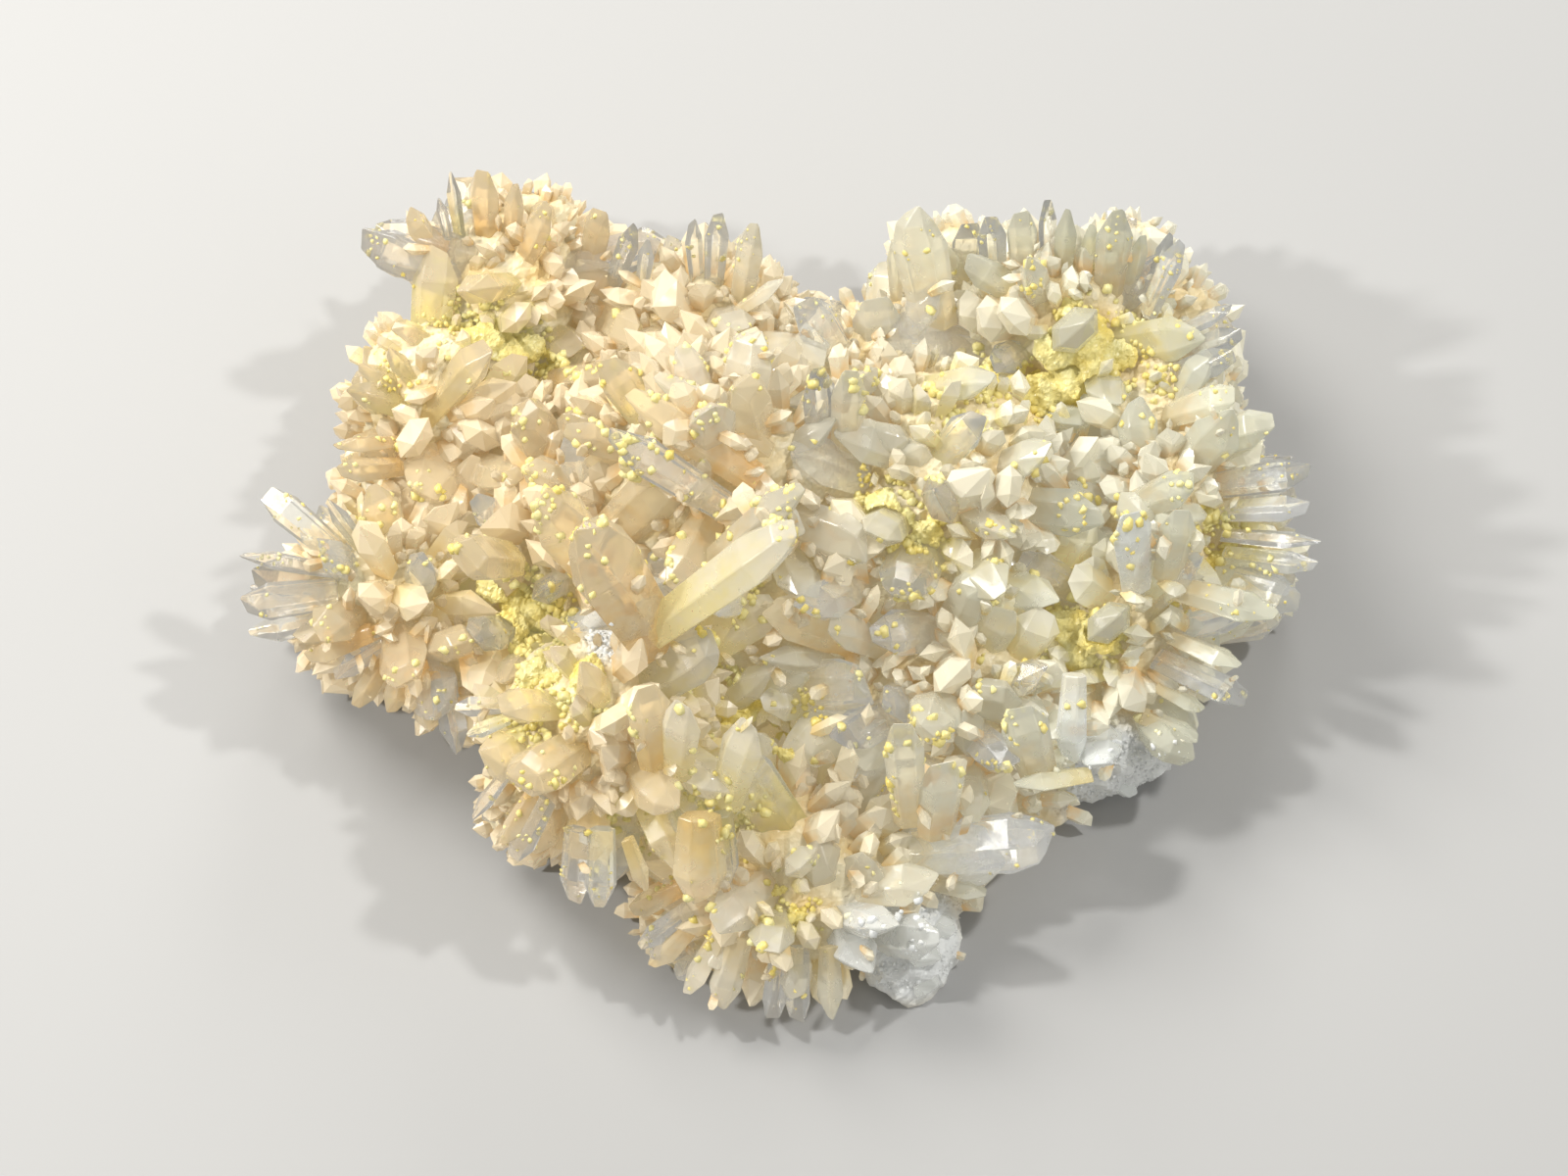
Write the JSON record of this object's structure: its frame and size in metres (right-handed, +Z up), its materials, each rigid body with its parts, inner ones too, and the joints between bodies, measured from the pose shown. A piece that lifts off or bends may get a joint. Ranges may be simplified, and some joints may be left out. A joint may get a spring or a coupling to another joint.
{
  "type": "sulfur and carbonate crystal cluster specimen",
  "caption": "Mineral specimen: a plate of intergrown honey and colourless spear-shaped crystals on white matrix with yellow sulfur crusts, cut flat underneath.",
  "frame": {"origin": "centre of the bounding box's underside, on the flat cut of the matrix", "axes": "+Z up out of the flat cut, +X along the length of the plate"},
  "size_m": [0.1098, 0.094, 0.0405],
  "materials": {
    "crystal": "translucent, flat faceted",
    "sulfur": "dull, granular"
  },
  "bodies": {
    "root": {"crystal_cluster": "crystal", "sulfur_crust_upper_left": "sulfur", "sulfur_crust_left": "sulfur", "sulfur_crust_lower_left": "sulfur", "sulfur_crust_centre": "sulfur", "sulfur_crust_finger": "sulfur", "sulfur_crust_upper_right": "sulfur", "sulfur_crust_middle_right": "sulfur", "sulfur_crust_right": "sulfur", "sulfur_crust_far_right": "sulfur", "sulfur_crust_low": "sulfur"}
  },
  "joints": []
}
